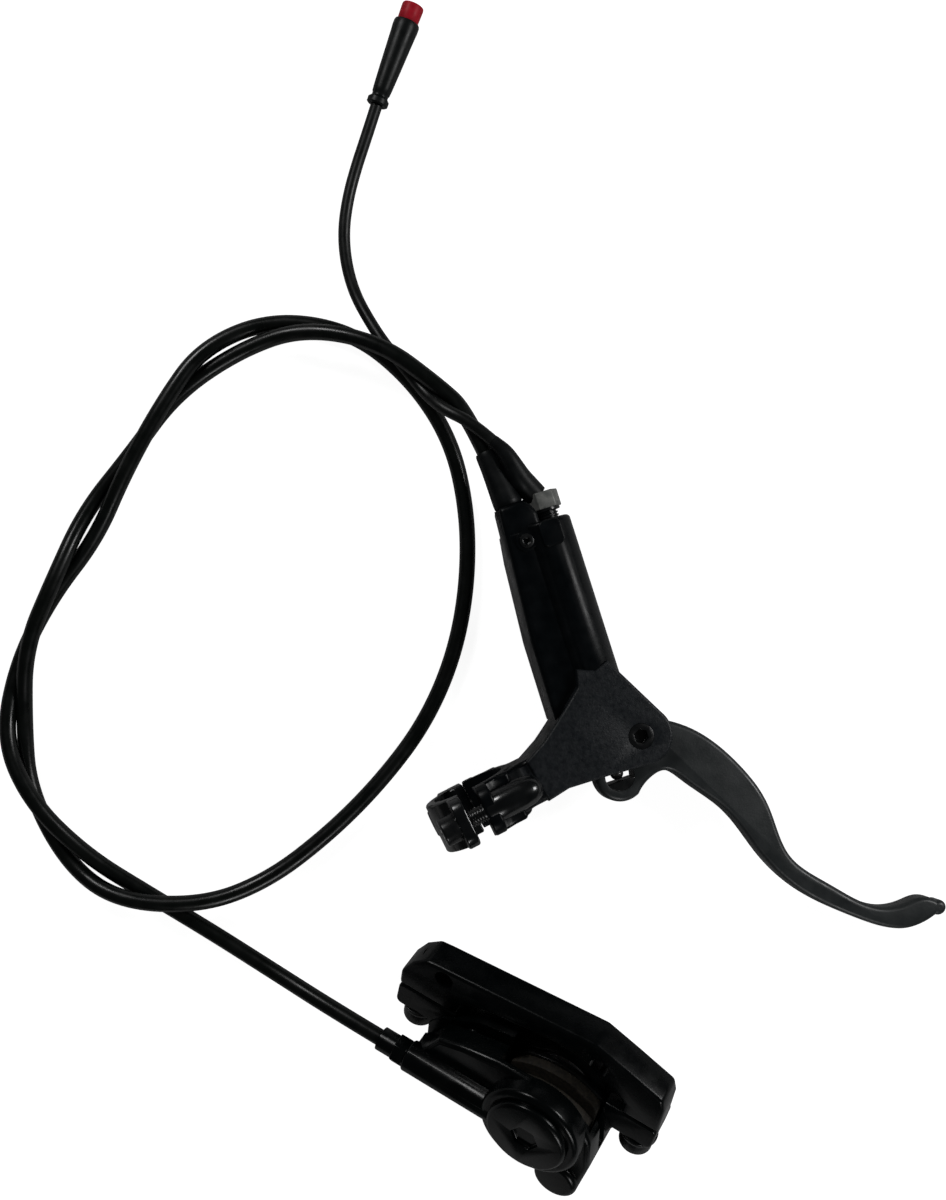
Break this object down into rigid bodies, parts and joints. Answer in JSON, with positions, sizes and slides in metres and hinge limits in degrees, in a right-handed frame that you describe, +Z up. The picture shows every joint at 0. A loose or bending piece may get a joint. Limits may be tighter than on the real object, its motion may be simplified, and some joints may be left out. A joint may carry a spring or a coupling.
{
  "type": "hydraulic disc brake",
  "caption": "Bicycle hydraulic disc brake: bar clamp lever with inline master cylinder and cut-off sensor cable, looped hose, and post mount caliper on an adapter bracket.",
  "frame": {"origin": "bottom centre of the box around the lever assembly and the caliper, without the hose and the cable, on the surface that they lie on", "axes": "+Z up from the surface, +X towards the lever's tip side, +Y from the caliper towards the lever's hose end"},
  "size_m": [0.2896, 0.3592, 0.0478],
  "materials": {
    "cast_black": "matte textured black",
    "lever_black": "satin black",
    "gloss_black": "gloss black",
    "black_steel": "blackened steel",
    "plain_steel": "plain steel",
    "sensor_metal": "plain turned metal",
    "black_rubber": "matte black rubber",
    "hose_black": "gloss black hose",
    "black_plastic": "matte black plastic",
    "red_plastic": "red plastic insert",
    "brass": "plated brass",
    "piston": "plain aluminium",
    "lining": "brownish sintered lining"
  },
  "bodies": {
    "brake": {"adapter_bracket": "gloss_black", "bore_cap": "gloss_black", "caliper_bleed_screw": "black_steel", "caliper_body_bolts": "black_steel", "caliper_body_inner": "gloss_black", "caliper_body_outer": "gloss_black", "caliper_hose_fitting": "black_steel", "caliper_seals": "black_rubber", "clamp_bolts": "black_steel", "clamp_cap": "cast_black", "compression_nut": "plain_steel", "connector_insert": "red_plastic", "connector_pins": "brass", "connector_shell": "black_plastic", "dust_boot": "black_rubber", "hose_boot": "black_rubber", "hydraulic_hose": "hose_black", "lever_bleed_screw": "black_steel", "lid_screws": "black_steel", "master_cylinder_body": "cast_black", "mount_bolts": "black_steel", "mount_washers": "black_steel", "pivot_bolt": "black_steel", "reservoir_diaphragm": "black_rubber", "reservoir_lid": "cast_black", "sensor_body": "sensor_metal", "sensor_cable": "black_rubber", "sensor_sleeve": "black_rubber", "stop_washer": "plain_steel"},
    "lever": {"lever_blade": "lever_black", "pivot_bushes": "black_plastic", "adjuster_barrel": "plain_steel"},
    "master_piston": {"master_piston": "piston", "piston_cups": "black_rubber"},
    "push_rod": {"push_rod": "plain_steel"},
    "outer_pad": {"outer_piston": "piston", "outer_pad_plate": "plain_steel", "outer_pad_lining": "lining"},
    "inner_pad": {"inner_piston": "piston", "inner_pad_plate": "plain_steel", "inner_pad_lining": "lining"}
  },
  "joints": [
    {"name": "lever_pivot", "type": "hinge", "parent": "brake", "child": "lever", "pos_m": [-0.00896, 0.02372, 0.01324], "axis": [-0.1212, -0.0592, -0.9909], "range_deg": [0, 22], "stiffness_Nm_per_rad": 0.6, "springref_deg": -5.73},
    {"name": "piston_slide", "type": "slide", "parent": "brake", "child": "master_piston", "axis": [-0.3011, 0.9534, -0.0202], "range_m": [0, 0.00362]},
    {"name": "rod_ball", "type": "hinge", "parent": "master_piston", "child": "push_rod", "pos_m": [-0.02115, 0.03929, 0.0138], "axis": [-0.1212, -0.0592, -0.9909], "range_deg": [0, 6.08]},
    {"name": "outer_piston_slide", "type": "slide", "parent": "brake", "child": "outer_pad", "axis": [0.4831, 0.4796, -0.7326], "range_m": [0, 0.00061]},
    {"name": "inner_piston_slide", "type": "slide", "parent": "brake", "child": "inner_pad", "axis": [-0.4831, -0.4796, 0.7326], "range_m": [0, 0.00061]}
  ],
  "couplings": [
    {"joint": "piston_slide", "follows": "lever_pivot", "m_per_rad": 0.0093},
    {"joint": "rod_ball", "follows": "lever_pivot", "ratio": 0.272},
    {"joint": "outer_piston_slide", "follows": "lever_pivot", "m_per_rad": 0.001563},
    {"joint": "inner_piston_slide", "follows": "lever_pivot", "m_per_rad": 0.001563}
  ]
}
